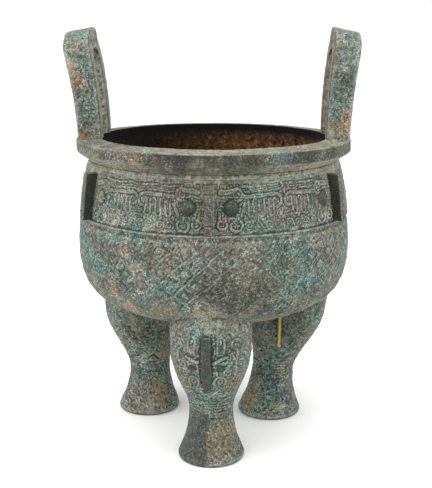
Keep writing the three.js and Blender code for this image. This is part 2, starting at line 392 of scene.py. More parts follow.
# %% [markdown]
# ## The frieze
#
# Round the shoulder run six masks, one on each flange, which is the animal's nose. To each side of
# it come an eye, a brow with a horn, a jaw, and a body of quills that ends where the next mask
# begins. Both halves are mirror images, so one formula on the distance from the flange serves all
# twelve. The ground is filled with square spirals, and the raised parts have a line cut into them.

# %% The frieze's skin
FRIEZE_LOW, FRIEZE_HIGH = 200.2, 240.4
FRIEZE_STEPS = 1184
FRIEZE_SPACING = 0.6
FRIEZE_RADIUS = 111  # on which lengths round the frieze are measured
shoulder_line = smooth([*SHOULDER, (106.6, 241)], FRIEZE_SPACING)
shoulder_line = [p for p in shoulder_line if FRIEZE_LOW < p[1] < FRIEZE_HIGH]
fillet = [(110.6, 197.5), (114.1, 197.5), (114.6, 197.9), (114.7, 198.4), (114.5, 198.9), (113.9, 199.4)]
frieze_outline = fillet + shoulder_line + [(104.6, FRIEZE_HIGH), (107, 228), (109.6, 212), (110.4, 200)]
frieze = piece_from("mask_frieze", spun(frieze_outline, FRIEZE_STEPS))
print("frieze:", len(shoulder_line), "rows,", len(frieze.data.polygons), "faces")

# %% The lines of half a mask
FLANGE_TURNS = [0, 60, 120, 180, 240, 301]
EYE = (16.4, 19.8)
EYE_RADIUS, EYE_PROUD = 5.3, 4.1
MASK_BARS = [
    # start, end, half width, height
    ((8.5, 30.8), (19, 32.4), 1.9, 0.95),  # brow
    ((27, 27.4), (51, 28.7), 1.4, 0.8),  # back
    ((24, 35), (55, 35.5), 0.7, 0.45),  # line over the back
    ((7.5, 11), (7.5, 16), 1, 0.8),  # snout
    ((24, 13.5), (26.5, 22), 1.1, 0.8),  # cheek
]
MASK_ARCS = [
    # centre, radius, start and end angle, half width, height
    ((20.6, 29), 4.6, -110, 100, 1, 0.95),  # horn's outer hook
    ((20.6, 29), 2.2, -200, 60, 0.55, 0.8),  # horn's inner hook
    ((9, 6.6), 3.4, 90, 380, 0.8, 0.8),  # nostril
    ((19.5, 6), 4.4, 150, 400, 0.9, 0.9),  # jaw
    ((52.5, 24), 4.4, -90, 100, 1, 0.8),  # tail
]
PLUMES = [31.5, 39.6, 47.8]  # each a pair of quills, joined in a bend below
PLUME_HALF = 2
QUILL_LOW, QUILL_HIGH = 14.5, 24.5
QUILL = (0.75, 0.75)  # half width, height
COILS = [29.5, 37.4, 46.2, 53.8]
COIL_UP, COIL_RADIUS, COIL_PITCH = 6, 3.7, 2.1
GROUND_CELL, GROUND_PITCH, GROUND_TALL = 6.4, 2.1, 0.3
print("half a mask has", len(MASK_BARS) + len(MASK_ARCS), "lines,", len(PLUMES), "pairs of quills and",
      len(COILS), "coils")

# %% Half a mask, drawn on the flat
MOAT = 0.75  # the bare strip that parts a raised line from the ground round it


def mask_lines(s, h):
    """For each line of the half mask: the distance to it, its half width and its height."""
    lines = [(bar(s, h, start, end), half, tall) for start, end, half, tall in MASK_BARS]
    lines += [(arc(s, h, *where), half, tall) for *where, half, tall in MASK_ARCS]
    for plume in PLUMES:
        left, right = plume - PLUME_HALF, plume + PLUME_HALF
        lines += [(bar(s, h, (quill, QUILL_LOW), (quill, QUILL_HIGH)), *QUILL) for quill in (left, right)]
        lines += [(arc(s, h, (plume, QUILL_LOW), PLUME_HALF, 180, 360), *QUILL),
                  (bar(s, h, (plume, QUILL_LOW + 1), (plume, QUILL_HIGH + 1)), 0.3, 0.6),
                  (arc(s, h, (right + 1.2, QUILL_HIGH), 1.2, 0, 180), 0.4, 0.65)]
    return lines


def half_mask(s, h):
    """The height in mm of the mask at s mm beside the flange and h mm above the frieze's foot."""
    top, clear = np.zeros(len(s)), np.ones(len(s))
    for distance, half, tall in mask_lines(s, h):
        cut = 0.5 * raised(distance, 0.12, 1, 0.3) * (half > 0.9)
        top = np.maximum(top, raised(distance, half, tall, 0.35) - cut)
        clear = np.minimum(clear, np.clip((distance - half - MOAT) / 0.3, 0, 1))
    for coil in COILS:
        distance = np.hypot(s - coil, h - COIL_UP)
        waves = 1 + spiral(s - coil, h - COIL_UP, COIL_PITCH)
        top = np.maximum(top, raised(distance, COIL_RADIUS, 0.36) * waves)
        clear = np.minimum(clear, np.clip((distance - COIL_RADIUS - 0.6) / 0.3, 0, 1))
    ground = GROUND_TALL * (1 + fret(s, h, GROUND_CELL, GROUND_PITCH)) * clear
    dome = EYE_PROUD * np.sqrt(np.clip(1 - (np.hypot(s - EYE[0], h - EYE[1]) / EYE_RADIUS) ** 2, 0, 1))
    return np.maximum(top + ground, dome)


print("the middle of an eye stands", round(float(half_mask(*np.array([EYE]).T)[0]), 1), "mm proud")

# %% Raise the masks on the frieze
FOOT_CORRODED, FOOT_RADIUS = 0.75, 112  # the masks have their own wear, so only their foot is eaten
EYES_SHOW_FROM = -70  # left of this x the eyes are crusted over

points = points_of(frieze)
height, radius = points[:, 2], radius_of(points)
beside = np.min([np.abs(nearest(turn_of(points) - turn, 360)) for turn in FLANGE_TURNS], axis=0)
outer_radius = np.interp(height, [p[1] for p in shoulder_line], [p[0] for p in shoulder_line])
outside = np.clip((radius - outer_radius + 1) * 2, 0, 1) * (height > FRIEZE_LOW - 0.1)
worn = np.clip(0.72 + 0.6 * lumps(points, 17, 41), 0.25, 1.05)
beside_mm, above_foot = np.radians(beside) * FRIEZE_RADIUS, height - FRIEZE_LOW
shaky_s = beside_mm + 0.9 * lumps(points, 7, 42) + 0.35 * lumps(points, 2.6, 43)
shaky_h = above_foot + 0.8 * lumps(points, 8, 44) + 0.35 * lumps(points, 2.6, 45)
lift = outside * worn * half_mask(shaky_s, shaky_h)
end = np.clip((height - FRIEZE_LOW) / 0.6, 0, 1) * np.clip((FRIEZE_HIGH - 0.6 - height) / 0.6, 0, 1)
lift = lift * end + corroded(points, FOOT_CORRODED) * (radius > FOOT_RADIUS)
move_to(frieze, points + normals_of(frieze) * lift[:, None])
eyes = raised(np.hypot(shaky_s - EYE[0], shaky_h - EYE[1]), EYE_RADIUS, 1) * (points[:, 0] > EYES_SHOW_FROM)
print("the masks stand up to", round(float(lift.max()), 2), "mm high")

# %% [markdown]
# ## The flanges
#
# Each flange is a plate that stands on the shoulder over a leg or between two. Shallow notches
# across its edge mark where the mould-maker divided it. It is an extruded outline with its edges
# bevelled and its corners worn.

# %% A flange's outline
FLANGE_THICK = 7.2
FLANGE_LOW, FLANGE_HIGH = 200.2, 237.4
FLANGE_REACH = [121.9, 117.4]
FLANGE_ROOTS = [111.5, 104]
NOTCHES = [208, 231]
NOTCH_TALL, NOTCH_DEEP = 1, 0.7


def flange_outline():
    """The flange from its foot outwards, as (radius, height)."""
    def reach(height):
        return float(np.interp(height, [FLANGE_LOW, FLANGE_HIGH], FLANGE_REACH))

    outline = [(FLANGE_ROOTS[0], FLANGE_LOW), (reach(FLANGE_LOW), FLANGE_LOW)]
    for notch in NOTCHES:
        low, high = notch - NOTCH_TALL / 2, notch + NOTCH_TALL / 2
        outline += [(reach(low), low), (reach(low) - NOTCH_DEEP, low),
                    (reach(high) - NOTCH_DEEP, high), (reach(high), high)]
    return outline + [(reach(FLANGE_HIGH) - 0.2, FLANGE_HIGH), (FLANGE_ROOTS[1], FLANGE_HIGH)]


print("a flange's outline has", len(flange_outline()), "corners")

# %% Make the six flanges
FLANGE_BEVEL = 0.35
FLANGE_MESH = 2.5  # mm, past which an edge is divided
FLANGE_CORRODED = 0.3


def flange(turn, number):
    """A flange: its outline extruded by its thickness, bevelled, turned to its place and corroded."""
    bm = bmesh.new()
    corners = [bm.verts.new((-FLANGE_THICK / 2 * MM, -radius * MM, height * MM))
               for radius, height in flange_outline()]
    face = bm.faces.new(corners)
    grown = bmesh.ops.extrude_face_region(bm, geom=[face])["geom"]
    moved = [item for item in grown if isinstance(item, bmesh.types.BMVert)]
    bmesh.ops.translate(bm, verts=moved, vec=(FLANGE_THICK * MM, 0, 0))
    bmesh.ops.recalc_face_normals(bm, faces=bm.faces)
    bmesh.ops.bevel(bm, geom=bm.edges[:], offset=FLANGE_BEVEL * MM, offset_type="OFFSET", affect="EDGES",
                    segments=2, profile=0.5, material=-1, clamp_overlap=True)
    bmesh.ops.triangulate(bm, faces=[f for f in bm.faces if len(f.verts) > 4])
    bmesh.ops.subdivide_edges(bm, edges=[e for e in bm.edges if e.calc_length() > FLANGE_MESH * MM],
                              cuts=2, use_grid_fill=True)
    bmesh.ops.triangulate(bm, faces=[f for f in bm.faces if len(f.verts) > 4])
    bmesh.ops.rotate(bm, verts=bm.verts, cent=(0, 0, 0), matrix=Matrix.Rotation(math.radians(turn), 3, "Z"))
    piece = piece_from(f"flange_{number}", bm)
    points = points_of(piece)
    move_to(piece, points + normals_of(piece) * corroded(points, FLANGE_CORRODED)[:, None])
    return piece


flanges = [flange(turn, number) for number, turn in enumerate(FLANGE_TURNS, 1)]
print(len(flanges), "flanges of", len(flanges[0].data.polygons), "faces")

# %% [markdown]
# ## The legs
#
# A leg is a round column that flares at its foot and swells into a mask under the bowl. It is spun
# round its own middle line, the mask is raised on its outer side, and its upper part is pushed
# outwards. Its top is flattened under the middle of the bowl's wall, so that it joins the bowl and
# never shows inside. The three were moulded by hand, so each stands and leans a little differently.

# %% The leg's column
LEG_STATIONS = [
    # height, radius, how far the middle has moved outwards
    (0, 26.4, 0.6), (2.5, 27.6, 0.5), (8, 25.8, 0), (19, 21.6, 0), (31, 19, 0), (43, 18.3, 0.4),
    (54, 20.2, 2), (66, 24.8, 4.6), (79, 29.5, 7.2), (92, 32.4, 9.4), (106, 33, 10.4), (118, 33, 10.2),
    (127, 31.6, 8.4), (134, 29, 5), (142, 25, 0),
]
LEG_STEPS = 256
LEG_SPACING = 0.75
LEG_TOP = 140
wall_middle = inset_line(belly_line, WALL / 2)  # the legs end inside the bowl's wall
LEGS = [
    # name, turn round the bowl, twist of the mask, reach of the waist, outward lean, girth
    ("front", 0, -5, 66.6, 0, 1),
    ("rear_right", 120, 0, 63.2, 0.1, 1.04),
    ("rear_left", 240, 0, 70, -0.03, 1.02),
]
leg_line = [p for p in smooth(LEG_STATIONS, LEG_SPACING) if 0.5 < p[0] < LEG_TOP]
leg_heights = [p[0] for p in leg_line]
print("a leg has", len(leg_line), "rows of", LEG_STEPS, "points")

# %% The lines of a leg's mask
NOSE_LOW, NOSE_HIGH = 68, 118.6
LEG_BARS = [
    # start, end, half width, height: s mm beside the nose, h mm above the ground
    ((6.5, 97), (16, 101), 1.3, 1.3),  # brow
    ((9, 103.5), (9, 117), 1, 1),  # inner horn
    ((14.5, 105), (15, 114), 1, 0.9),  # outer horn
    ((23.5, 84), (26, 104), 1, 0.8),  # ear's edge
]
LEG_ARCS = [
    # centre, radius, start and end angle, half width, height
    ((11.8, 114.5), 2.9, 0, 180, 0.8, 0.9),  # the horns' bend
    ((10.5, 78.5), 4.6, -60, 230, 0.9, 0.9),  # curl beside the nose
    ((10.5, 78.5), 2, 60, 400, 0.5, 0.8),  # its inner turn
    ((18.5, 86), 7, -80, 60, 0.9, 0.8),  # cheek
    ((25, 110), 4.4, 0, 270, 0.9, 0.8),  # ear
]
LEG_GROUND_CELL, LEG_GROUND_PITCH, LEG_GROUND_TALL = 6.9, 2.3, 0.27
LEG_EYE = (11.4, 91.2)
SOCKET_RADIUS, SOCKET_DEEP = 2.8, 2.2
print("a leg's mask has", len(LEG_BARS) + len(LEG_ARCS), "lines to each side of its nose")

# %% The leg's mask and its waist
WAIST, WAIST_TALL, WAIST_PITCH = 49, 14, 2.9
WAIST_LINE = 0.14  # mm high


def nose_part(side, h):
    """1 on the leg's nose, 0 beside it."""
    half_nose = np.interp(h, [NOSE_LOW, NOSE_LOW + 18], [1.9, 3.4])
    ends = np.clip((h - NOSE_LOW) / 0.9, 0, 1) * np.clip((NOSE_HIGH - h) / 0.9, 0, 1)
    return raised(np.abs(side), half_nose, 1, 0.5) * ends


def socket_part(side, h):
    """1 in the middle of each eye's socket, 0 round it."""
    return raised(np.hypot((np.abs(side) - LEG_EYE[0]) / 1.3, h - LEG_EYE[1]), SOCKET_RADIUS, 1, 0.9)


def leg_mask(side, h):
    """The height in mm of a leg's mask, side mm from the nose's middle line and h mm up."""
    s = np.abs(side)
    lines = [(bar(s, h, start, end), half, tall) for start, end, half, tall in LEG_BARS]
    lines += [(arc(s, h, *where), half, tall) for *where, half, tall in LEG_ARCS]
    top, clear = np.zeros(len(s)), np.ones(len(s))
    for distance, half, tall in lines:
        top = np.maximum(top, raised(distance, half, tall) - 0.4 * raised(distance, 0.15, 1, 0.35))
        clear = np.minimum(clear, np.clip((distance - half - MOAT) / 0.4, 0, 1))
    on_mask = np.clip((h - 66) / 6, 0, 1) * np.clip((40 - s) / 8, 0, 1) * np.clip((120 - h) / 8, 0, 1)
    ground = LEG_GROUND_TALL * (1 + fret(s, h, LEG_GROUND_CELL, LEG_GROUND_PITCH)) * clear
    nose = nose_part(side, h) * np.interp(h, [NOSE_LOW, NOSE_LOW + 30], [1.3, 3.6])
    return np.maximum((top + ground) * on_mask - SOCKET_DEEP * socket_part(side, h), nose)


def waist_lines(h):
    """Fine turned lines round the waist, which fade out above and below."""
    fade = np.clip(1.3 - np.abs(h - WAIST) / WAIST_TALL, 0, 1)
    return WAIST_LINE * fade * np.cos(h / WAIST_PITCH * math.tau)


print("the waist's turned lines are", WAIST_PITCH, "mm apart")


# %% A leg's column and its place
def column(name, girth):
    """A leg's plain column, standing upright on the vessel's middle line."""
    side = [(radius * girth, height) for height, radius, out in leg_line]
    outline = [(0, 0), (12, 0), (side[0][0] - 1.2, 0), *side, (14, LEG_TOP), (0, LEG_TOP)]
    return piece_from(f"leg_{name}", spun(outline, LEG_STEPS))


def placed(points, turn, reach, lean):
    """A column's points, pushed outwards, turned to the leg's place and kept inside the bowl's wall."""
    height = points[:, 2]
    out = np.interp(height, leg_heights, [p[2] for p in leg_line]) + lean * (height - WAIST)
    x, y = points[:, 0], points[:, 1] - (reach + out)
    angle = math.radians(turn)
    ceiling = np.interp(np.hypot(x, y), *np.array(wall_middle).T)
    return np.stack([x * math.cos(angle) - y * math.sin(angle), x * math.sin(angle) + y * math.cos(angle),
                     np.minimum(height, ceiling)], axis=1)


print("the legs' tops lie under the wall's middle,", round(wall_middle[0][1], 1), "mm up at its lowest")

# %% Make the three legs
MASK_HALF_TURN = 95  # degrees of the column that the mask takes, to each side of its nose
LEG_CORRODED = 1.1


def leg(name, turn, twist, reach, lean, girth):
    """A leg, with how much of its nose and of its eyes' sockets lies at each of its points."""
    piece = column(name, girth)
    points = points_of(piece)
    height, radius = points[:, 2], radius_of(points)
    around = nearest(turn_of(points) - twist, 360)
    side = np.radians(around) * radius
    skin = np.clip((radius - 15) / 2, 0, 1) * (height > 3) * (height < LEG_TOP - 1)
    own = points + 50 * turn  # each leg reads the random lattice from another place
    shaky = 0.8 * lumps(own, 7, 53) + 0.4 * lumps(own, 2.8, 54)
    on_face = np.abs(around) < MASK_HALF_TURN
    lift = leg_mask(side + shaky, height + shaky) * on_face
    lift = lift * np.clip(0.85 + 0.5 * lumps(own, 14, 51), 0.4, 1.1)
    lift += waist_lines(height + shaky) * np.clip(0.5 + 1.5 * lumps(own, 9, 52), 0, 1.5)
    points += normals_of(piece) * (skin * (lift + corroded(points + 77 * turn, LEG_CORRODED)))[:, None]
    move_to(piece, placed(points, turn, reach, lean))
    return piece, nose_part(side + shaky, height + shaky) * on_face, socket_part(side, height) * on_face


legs, noses, sockets = zip(*[leg(*facts) for facts in LEGS])
print(len(legs), "legs of", len(legs[0].data.polygons), "faces")

# %% [markdown]
# ## Marks on the rear legs
#
# The rear legs bear the marks of age: a crack like a bent twig, three short slots where the clay
# core's pins were, and a thin yellow run of something that dripped down from the bowl and dried.
# They are cut into the skin, or raised on it, where it faces the front.

# %% Cut the marks
MARKS = {
    # leg: start, end as (x, height), half width, height
    "leg_rear_left": [((-60.4, 54.1), (-55.8, 57.4), 0.45, -1.7),
                      ((-55.8, 57.4), (-51.2, 52.2), 0.55, -1.8)],
    "leg_rear_right": [((36.8, 51.4), (40.2, 51.6), 0.6, -1.4),
                       ((45.8, 53.6), (49, 53.4), 0.6, -1.4),
                       ((42.2, 62), (45.2, 62.4), 0.6, -1.3)],
}
DRIP = ((59.3, 99), (58.7, 70.5))
DRIP_HALF, BEAD_HALF, DRIP_TALL = 1.1, 1.7, 0.9


def drip(points, facing):
    """1 on the dried yellow run and the bead at its end, 0 beside it."""
    x, height = points[:, 0], points[:, 2]
    run, bead = bar(x, height, *DRIP), np.hypot(x - DRIP[1][0], height - DRIP[1][1])
    return np.maximum(raised(run, DRIP_HALF, 1), raised(bead, BEAD_HALF, 1)) * facing


runs, cuts = {}, {}
for piece in legs:
    points, normals = points_of(piece), normals_of(piece)
    facing = (normals[:, 1] < -0.2) & (points[:, 1] < 60)
    lift = sum((raised(bar(points[:, 0], points[:, 2], start, end), half, tall) * facing
                for start, end, half, tall in MARKS.get(piece.name, [])), np.zeros(len(points)))
    cuts[piece.name] = np.clip(-lift, 0, 1)
    runs[piece.name] = drip(points, facing) * (piece.name == "leg_rear_right")
    move_to(piece, points + normals * (lift + DRIP_TALL * runs[piece.name])[:, None])
print("marks:", {name: len(marks) for name, marks in MARKS.items()}, "and one drip")

# %% [markdown]
# ## The handles
#
# Two upright loops stand on the rim and lean outwards, more so towards their tops. A cube is cut
# into small squares, and this block is bent: its length runs up one post, over the arch and down
# the other, its width runs across the band, and its depth is the band's thickness. Its feet end on
# the rim, and where they reach over the mouth they are held up on the lip.

# %% The loop's line
HANDLE_WIDTH, SLOT_WIDTH = 60, 33
CROWN, SLOT_CROWN = 86.4, 69.5
HANDLE_FOOT = 259.2 - MOUTH_TOP
THICK_LOW, THICK_HIGH = 19.2, 21.6
LEAN_HEIGHT, LEAN_POWER = 75, 1.75
SQUARENESS = 2.5  # of the arch: 2 would be round
POST_SHARE = 0.36  # of the loop's length, for each post
CORNER = 0.05  # of the block's depth, which the long edges are rounded by
HANDLE_TILT = 0.2  # of the band at the crown, in radians
HANDLE_CORRODED = 0.8
HANDLES = [("left", -1, 101.2, 9.6), ("right", 1, 102.4, 6.4)]
BLOCK_CUTS = (200, 14, 18)  # along the loop, across the band, through its thickness
spring = min(CROWN - HANDLE_WIDTH / 2, SLOT_CROWN - SLOT_WIDTH / 2)  # where the arch begins


def loop_point(along, wide, crown):
    """A point of the loop of this width and crown, at 0 to 1 from one post's foot to the other's."""
    angle = np.clip((along - POST_SHARE) / (1 - 2 * POST_SHARE), 0, 1) * math.pi
    bend = 2 / SQUARENESS
    across = np.sign(np.cos(angle)) * np.abs(np.cos(angle)) ** bend * wide / 2
    arch = spring + np.abs(np.sin(angle)) ** bend * (crown - spring)
    on_post = np.clip(np.minimum(along, 1 - along) / POST_SHARE, 0, 1)
    return across, np.where(on_post < 1, HANDLE_FOOT + on_post * (spring - HANDLE_FOOT), arch)


print("the handles' arches spring", round(spring, 1), "mm above the rim")


# %% A finely cut block
def finely_cut_block():
    """A cube of side 1 whose faces are cut into small squares."""
    bm = bmesh.new()
    bmesh.ops.create_cube(bm, size=1)
    for axis, parts in enumerate(BLOCK_CUTS):
        parallel = [edge for edge in bm.edges if abs((edge.verts[0].co - edge.verts[1].co)[axis]) > 0.5]
        bmesh.ops.subdivide_edges(bm, edges=parallel, cuts=parts - 1, use_grid_fill=True)
    return bm


print("the block is cut into", " by ".join(str(parts) for parts in BLOCK_CUTS), "squares")


# %% Bend a block into each loop
def face_outwards(piece):
    """Turn a piece's faces the right way round, after a bend that mirrored it."""
    bm = bmesh.new()
    bm.from_mesh(piece.data)
    bmesh.ops.recalc_face_normals(bm, faces=bm.faces[:])
    bm.to_mesh(piece.data)
    bm.free()


def bent(block, side, middle, lean):
    """The points of a block of side 1, bent into the handle on this side."""
    along, width, depth = block[:, 0] + 0.5, block[:, 1] + 0.5, block[:, 2]
    squeeze = 1 - CORNER * np.clip((np.abs(depth) - 0.5 + CORNER) / CORNER, 0, 1) ** 2
    width = 0.5 + (width - 0.5) * squeeze
    outer, outer_up = loop_point(along, HANDLE_WIDTH, CROWN)
    inner, inner_up = loop_point(along, SLOT_WIDTH, SLOT_CROWN)
    across, up = outer + (inner - outer) * width, outer_up + (inner_up - outer_up) * width
    share = np.clip(up / LEAN_HEIGHT, 0, 1)
    thick, tilt = THICK_LOW + (THICK_HIGH - THICK_LOW) * share, HANDLE_TILT * share**2
    out = middle + lean * share**LEAN_POWER + depth * thick * np.cos(tilt)
    points = np.stack([side * out, side * across, MOUTH_TOP + up - depth * thick * np.sin(tilt)], axis=1)
    over_mouth = radius_of(points) < LIP_RADIUS + 0.3
    points[over_mouth, 2] = np.maximum(points[over_mouth, 2], LIP_TOP - 0.3)
    return points


def handle(name, side, middle, lean):
    """A handle, bent from a block and corroded."""
    piece = piece_from(f"handle_{name}", finely_cut_block())
    points = bent(points_of(piece) * MM, side, middle, lean)
    move_to(piece, points)
    face_outwards(piece)
    move_to(piece, points + normals_of(piece) * corroded(points, HANDLE_CORRODED)[:, None])
    return piece


handles = [handle(*facts) for facts in HANDLES]
print(len(handles), "handles of", len(handles[0].data.polygons), "faces")
PIECES = [bowl, belly, frieze, *flanges, *legs, *handles]

# %% [markdown]
# ## Where the patina lies
#
# The colours follow the shape and the history of the bronze. Grooves are darkened, partly as dirt
# and partly as painted shade, and ridges and edges are rubbed to a pale grey-green. Patches of teal,
# copper, mauve, brown, cream and tan lie where damp soil touched. A flat map wrapped round the
# vessel would smear on its carving, so each piece carries these as numbers on its points instead,
# named attributes that the material reads.

# %% Ridges and grooves
RUB_REACH = 3.0  # mm of skin that a point's height is compared with
RUB_HEIGHT = 0.2  # mm that a point stands proud when it is fully rubbed


def rubbed(piece):
    """How far each point stands above the skin round it, in mm: ridges over 0, grooves under it."""
    points, normals = points_of(piece), normals_of(piece)
    ends = np.empty(len(piece.data.edges) * 2, dtype=np.int64)
    piece.data.edges.foreach_get("vertices", ends)
    a, b = ends.reshape(-1, 2).T
    spacing = np.linalg.norm(points[a] - points[b], axis=1).mean()
    count = np.maximum(np.bincount(a, minlength=len(points)) + np.bincount(b, minlength=len(points)), 1)
    soft = points.copy()
    for _ in range(int(np.clip((RUB_REACH / spacing) ** 2, 1, 24))):
        total = np.stack([np.bincount(a, soft[b, i], len(points)) + np.bincount(b, soft[a, i], len(points))
                          for i in range(3)], axis=1)
        soft = 0.5 * soft + 0.5 * total / count[:, None]
    return ((points - soft) * normals).sum(1)


def store(piece, name, values):
    """Keep a value from 0 to 1 for each point of a piece, as an attribute of this name."""
    layer = piece.data.attributes.new(name, "FLOAT", "POINT")
    layer.data.foreach_set("value", np.clip(values, 0, 1).astype(np.float32))


for piece in PIECES:
    above = rubbed(piece) / RUB_HEIGHT
    store(piece, "ridge", above)
    # the groove strength darkens the colour, partly as dirt and partly as painted shade
    store(piece, "groove", -above)
print("ridges and grooves are told apart over", RUB_REACH, "mm of skin")

# %% Patches
# How strong each colour gets where it drifts over the vessel at random.
DRIFTS = {"teal": 0.8, "copper": 0.35, "mauve": 0.65, "brown": 0.75, "cream": 0.25, "tan": 0.45}
PATCHES = {
    # middle in mm, radius in mm, strength from 0 to 1
    "teal": [
        # handles
        ((-104, -30, 345), 12, 0.8), ((-102, -30, 285), 20, 0.4), ((-102, -30, 300), 14, 0.7),
        ((105, -30, 300), 20, 0.9), ((106, -30, 325), 14, 0.6),
        # rim
        ((-88, -74, 256), 10, 1), ((-8, -115, 255), 5, 0.8), ((22, -113, 255), 5, 0.7),
        ((50, -104, 256), 16, 1), ((84, -78, 256), 9, 0.8),
        # neck and frieze
        ((-100, -50, 226), 14, 0.7), ((-97, -57, 220), 7, 1), ((-95, -60, 205), 14, 0.7),
        ((-24, -111, 205), 10, 0.7), ((14, -112, 222), 8, 0.8), ((18, -108, 229), 9, 0.7),
        ((48, -98, 230), 16, 0.8),
        # belly
        ((-108, -40, 185), 16, 0.8), ((-85, -70, 170), 16, 0.8), ((-60, -96, 192), 12, 0.8),
        ((-47, -101, 144), 13, 0.9), ((-38, -108, 158), 17, 0.9), ((-30, -111, 172), 15, 0.5),
        ((-20, -108, 140), 12, 0.8), ((-5, -109, 124), 14, 1), ((46, -106, 178), 12, 0.8),
        ((75, -88, 179), 15, 0.9), ((76, -85, 156), 17, 1), ((98, -60, 150), 16, 0.9),
        # legs
        ((-66, 17, 44), 9, 0.7), ((-60, 14, 70), 10, 0.8), ((0, -90, 56), 16, 0.6),
        ((0, -88, 66), 8, 0.8), ((10, -108, 96), 10, 0.9), ((54, 13, 50), 16, 0.9),
        ((56, 12, 70), 9, 0.8), ((60, 10, 22), 14, 0.7),
    ],
    "copper": [
        # handles
        ((-112, -30, 320), 6, 1), ((-108, -30, 306), 6, 1), ((94, -24, 270), 9, 0.5),
        ((95, 20, 268), 13, 0.9), ((95, 20, 288), 12, 0.9), ((109, -30, 270), 9, 0.9),
        ((110, -30, 281), 7, 0.9),
        # rim
        ((-104, -30, 260), 10, 0.9), ((-84, -72, 262), 9, 0.8), ((-70, -92, 255), 8, 1),
        ((-62, -90, 261), 8, 0.6), ((-56, -101, 255), 8, 1), ((-40, -108, 255), 6, 0.8),
        ((-30, -106, 248), 5, 0.9), ((2, -112, 248), 5, 0.9),
        # neck and frieze
        ((-24, -106, 233), 6, 1), ((96, -62, 208), 5, 0.9),
        # belly
        ((-98, -58, 197), 5, 1), ((-95, -63, 195), 5, 1), ((-77, -82, 148), 8, 0.9),
        ((-68, -93, 184), 7, 0.7), ((-62, -84, 133), 9, 0.9), ((-8, -108, 136), 9, 0.6),
        # legs
        ((-72, 12, 96), 6, 0.8), ((-40, 16, 30), 5, 0.7), ((36, 14, 26), 6, 0.7),
        ((70, 14, 30), 6, 0.6),
    ],
    "mauve": [
        # rim
        ((-66, -80, 261), 20, 0.9),
        # neck and frieze
        ((-37, -101, 235), 14, 0.9), ((-30, -106, 223), 14, 0.8), ((48, -98, 214), 13, 0.8),
        ((65, -90, 222), 14, 0.9),
        # belly
        ((-26, -97, 116), 9, 0.9), ((-14, -114, 185), 14, 0.7), ((0, -116, 158), 12, 0.6),
        ((28, -112, 184), 15, 0.7), ((30, -88, 117), 9, 0.8), ((92, -70, 182), 17, 0.7),
        # legs
        ((-74, 17, 21), 7, 1), ((-24, -97, 98), 9, 0.8),
    ],
    "brown": [
        # handles
        ((-106, -30, 330), 9, 0.5), ((-104, -30, 270), 9, 0.5), ((104, -30, 312), 8, 0.7),
        # rim
        ((-84, -78, 254), 6, 0.9), ((0, -115, 254), 42, 1), ((78, -84, 256), 10, 1),
        # neck and frieze
        ((-16, -112, 222), 9, 0.6), ((80, -78, 225), 9, 0.5),
        # belly
        ((-88, -75, 150), 9, 0.6), ((-30, -113, 186), 8, 0.5), ((8, -114, 157), 20, 1),
        ((14, -104, 108), 8, 0.6), ((14, -108, 136), 18, 0.9), ((18, -113, 192), 10, 0.7),
        ((31, -108, 148), 26, 1), ((40, -108, 168), 14, 0.6), ((60, -80, 128), 22, 0.7),
        ((86, -78, 140), 14, 0.8),
        # legs
        ((-67, 7, 84), 20, 1), ((-60, 10, 36), 8, 0.7), ((-45, 22, 75), 14, 0.9),
        ((-26, -84, 86), 9, 0.6), ((40, 14, 75), 14, 0.9), ((52, 10, 38), 10, 0.8),
        ((66, 5, 91), 24, 1),
    ],
    "cream": [
        # rim
        ((95, -40, 261), 17, 0.8),
        # neck and frieze
        ((-96, -50, 238), 18, 0.8), ((-74, -86, 200), 6, 0.8), ((-70, -90, 228), 9, 0.6),
        ((-45, -104, 205), 8, 0.5), ((0, -106, 242), 20, 0.6), ((40, -98, 242), 14, 0.5),
        ((90, -68, 208), 7, 0.8), ((96, -50, 238), 18, 0.9),
        # belly
        ((-60, -98.6, 170), 6, 1), ((0, -108, 131), 13, 0.6),
        # legs
        ((-84, 20, 100), 8, 0.6), ((-68, 14, 52), 5, 1), ((-58, 12, 9), 7, 0.8),
        ((-50, 14, 24), 7, 0.9), ((36, 14, 14), 8, 0.8), ((58, 8, 8), 8, 0.7), ((84, 20, 92), 8, 0.6),
    ],
    "tan": [
        # neck and frieze
        ((-7, -112, 215), 7, 0.9),
        # belly
        ((-60, -85, 131), 12, 0.6), ((-40, -98, 133), 12, 0.8), ((-30, -103, 137), 12, 0.9),
        ((28, -112, 166), 12, 0.5),
        # legs
        ((-50, 16, 20), 14, 0.9), ((-46, 22, 60), 14, 0.8), ((-22, -92, 78), 12, 0.9),
        ((9, -86, 22), 17, 1), ((9, -90, 36), 9, 0.7), ((20, -96, 84), 8, 0.7), ((33, 16, 16), 12, 1),
        ((40, 14, 62), 9, 0.6),
    ],
}
print(sum(len(spots) for spots in PATCHES.values()), "patches of", ", ".join(PATCHES))


# %% How a patch covers the skin
def patch(points, spots, seed):
    """How strongly a colour covers each point, from 0 to 1, with ragged edges."""
    ragged = points + 4 * np.stack([lumps(points, 6, seed + i) for i in range(3)], axis=1)
    cover = np.zeros(len(points))
    for middle, radius, strength in spots:
        away = np.linalg.norm(ragged - middle, axis=1) / radius
        cover = np.maximum(cover, strength * np.clip(1.5 * (1.25 - away), 0, 1))
    return cover


def drift(points, colour, number):
    """How strongly a colour covers each point in its random drifts."""
    clouds = lumps(points, 26, 60 + number) * lumps(points, 11, 70 + number)
    return DRIFTS[colour] * np.clip(clouds * 4 - 0.1, 0, 1)


teal_share = patch(points_of(belly), PATCHES["teal"], 80).mean()
print("teal patches cover", round(100 * float(teal_share)), "% of the belly")


